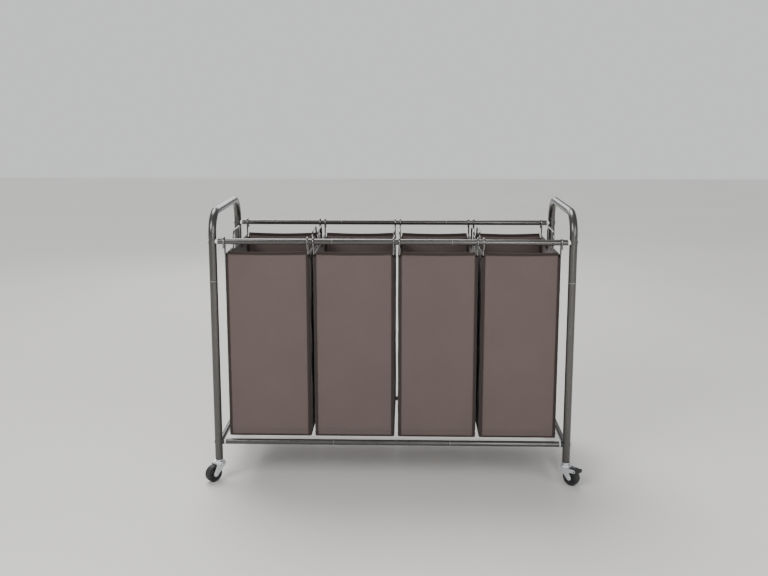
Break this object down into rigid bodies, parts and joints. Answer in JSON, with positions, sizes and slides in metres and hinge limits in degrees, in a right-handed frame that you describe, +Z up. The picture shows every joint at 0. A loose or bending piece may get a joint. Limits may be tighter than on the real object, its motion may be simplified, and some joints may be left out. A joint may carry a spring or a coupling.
{
  "type": "laundry sorter on wheels",
  "caption": "Rolling laundry sorter: a tube frame with handle hoops on swivel casters carries a row of deep lift-off fabric bags hung from two rails.",
  "frame": {"origin": "on the floor under the middle of the frame", "axes": "+X to the right along the rails, +Y from the front rails to the back rails, +Z up"},
  "size_m": [1.0728, 0.4608, 0.783],
  "materials": {
    "frame_paint": "gunmetal grey powder coat, satin",
    "bag_fabric": "taupe brown woven polyester with dark brown binding",
    "board_card": "stiff board covered with the bag's cloth",
    "zinc_plate": "bright zinc plate",
    "wheel_black": "black moulded wheel",
    "spacer_nylon": "pale nylon",
    "black_plastic": "black moulded plastic",
    "wire_finish": "black nickel plated wire"
  },
  "bodies": {
    "frame": {"left_handle_hoop": "frame_paint", "left_crossbar": "frame_paint", "right_handle_hoop": "frame_paint", "right_crossbar": "frame_paint", "front_left_leg": "frame_paint", "front_left_caster_stem": "zinc_plate", "front_right_leg": "frame_paint", "front_right_caster_stem": "zinc_plate", "back_left_leg": "frame_paint", "back_left_caster_stem": "zinc_plate", "back_right_leg": "frame_paint", "back_right_caster_stem": "zinc_plate", "top_front_rail_left": "frame_paint", "top_front_rail_middle": "frame_paint", "top_front_rail_right": "frame_paint", "top_back_rail_left": "frame_paint", "top_back_rail_middle": "frame_paint", "top_back_rail_right": "frame_paint", "bottom_front_rail_left": "frame_paint", "bottom_front_rail_middle": "frame_paint", "bottom_front_rail_right": "frame_paint", "bottom_back_rail_left": "frame_paint", "bottom_back_rail_middle": "frame_paint", "bottom_back_rail_right": "frame_paint", "tube_joiners": "frame_paint", "rail_end_plugs": "black_plastic", "rail_bolts": "zinc_plate", "nylon_spacers": "spacer_nylon", "lower_saddles": "black_plastic", "caster_sockets": "black_plastic"},
    "bag_1": {"bag_1_shell": "bag_fabric", "bag_1_base_board": "board_card", "bag_1_left_hanger_wire": "wire_finish", "bag_1_right_hanger_wire": "wire_finish"},
    "bag_2": {"bag_2_shell": "bag_fabric", "bag_2_base_board": "board_card", "bag_2_left_hanger_wire": "wire_finish", "bag_2_right_hanger_wire": "wire_finish"},
    "bag_3": {"bag_3_shell": "bag_fabric", "bag_3_base_board": "board_card", "bag_3_left_hanger_wire": "wire_finish", "bag_3_right_hanger_wire": "wire_finish"},
    "bag_4": {"bag_4_shell": "bag_fabric", "bag_4_base_board": "board_card", "bag_4_left_hanger_wire": "wire_finish", "bag_4_right_hanger_wire": "wire_finish"},
    "front_left_swivel": {"front_left_caster_fork": "zinc_plate", "front_left_caster_axle": "zinc_plate"},
    "front_left_wheel": {"front_left_caster_wheel": "wheel_black"},
    "front_right_swivel": {"front_right_caster_fork": "zinc_plate", "front_right_caster_axle": "zinc_plate"},
    "front_right_wheel": {"front_right_caster_wheel": "wheel_black"},
    "front_right_brake": {"front_right_brake_lever": "black_plastic"},
    "back_left_swivel": {"back_left_caster_fork": "zinc_plate", "back_left_caster_axle": "zinc_plate"},
    "back_left_wheel": {"back_left_caster_wheel": "wheel_black"},
    "back_left_brake": {"back_left_brake_lever": "black_plastic"},
    "back_right_swivel": {"back_right_caster_fork": "zinc_plate", "back_right_caster_axle": "zinc_plate"},
    "back_right_wheel": {"back_right_caster_wheel": "wheel_black"}
  },
  "joints": [
    {"name": "bag_1_lift", "type": "slide", "parent": "frame", "child": "bag_1", "axis": [0, 0, 1], "range_m": [0, 0.6]},
    {"name": "bag_2_lift", "type": "slide", "parent": "frame", "child": "bag_2", "axis": [0, 0, 1], "range_m": [0, 0.6]},
    {"name": "bag_3_lift", "type": "slide", "parent": "frame", "child": "bag_3", "axis": [0, 0, 1], "range_m": [0, 0.6]},
    {"name": "bag_4_lift", "type": "slide", "parent": "frame", "child": "bag_4", "axis": [0, 0, 1], "range_m": [0, 0.6]},
    {"name": "front_left_swivel_turn", "type": "hinge", "parent": "frame", "child": "front_left_swivel", "pos_m": [-0.495, -0.189, 0.053], "axis": [0, 0, 1], "continuous": true},
    {"name": "front_left_wheel_spin", "type": "hinge", "parent": "front_left_swivel", "child": "front_left_wheel", "pos_m": [-0.50914, -0.20314, 0.024], "axis": [0.7071, -0.7071, 0], "continuous": true},
    {"name": "front_right_swivel_turn", "type": "hinge", "parent": "frame", "child": "front_right_swivel", "pos_m": [0.495, -0.189, 0.053], "axis": [0, 0, 1], "continuous": true},
    {"name": "front_right_wheel_spin", "type": "hinge", "parent": "front_right_swivel", "child": "front_right_wheel", "pos_m": [0.50914, -0.20314, 0.024], "axis": [0.7071, 0.7071, 0], "continuous": true},
    {"name": "front_right_brake_press", "type": "hinge", "parent": "front_right_swivel", "child": "front_right_brake", "pos_m": [0.52046, -0.21446, 0.0465], "axis": [0.7071, 0.7071, 0], "range_deg": [0, 18]},
    {"name": "back_left_swivel_turn", "type": "hinge", "parent": "frame", "child": "back_left_swivel", "pos_m": [-0.495, 0.189, 0.053], "axis": [0, 0, 1], "continuous": true},
    {"name": "back_left_wheel_spin", "type": "hinge", "parent": "back_left_swivel", "child": "back_left_wheel", "pos_m": [-0.50914, 0.20314, 0.024], "axis": [-0.7071, -0.7071, 0], "continuous": true},
    {"name": "back_left_brake_press", "type": "hinge", "parent": "back_left_swivel", "child": "back_left_brake", "pos_m": [-0.52046, 0.21446, 0.0465], "axis": [-0.7071, -0.7071, 0], "range_deg": [0, 18]},
    {"name": "back_right_swivel_turn", "type": "hinge", "parent": "frame", "child": "back_right_swivel", "pos_m": [0.495, 0.189, 0.053], "axis": [0, 0, 1], "continuous": true},
    {"name": "back_right_wheel_spin", "type": "hinge", "parent": "back_right_swivel", "child": "back_right_wheel", "pos_m": [0.50914, 0.20314, 0.024], "axis": [-0.7071, 0.7071, 0], "continuous": true}
  ]
}
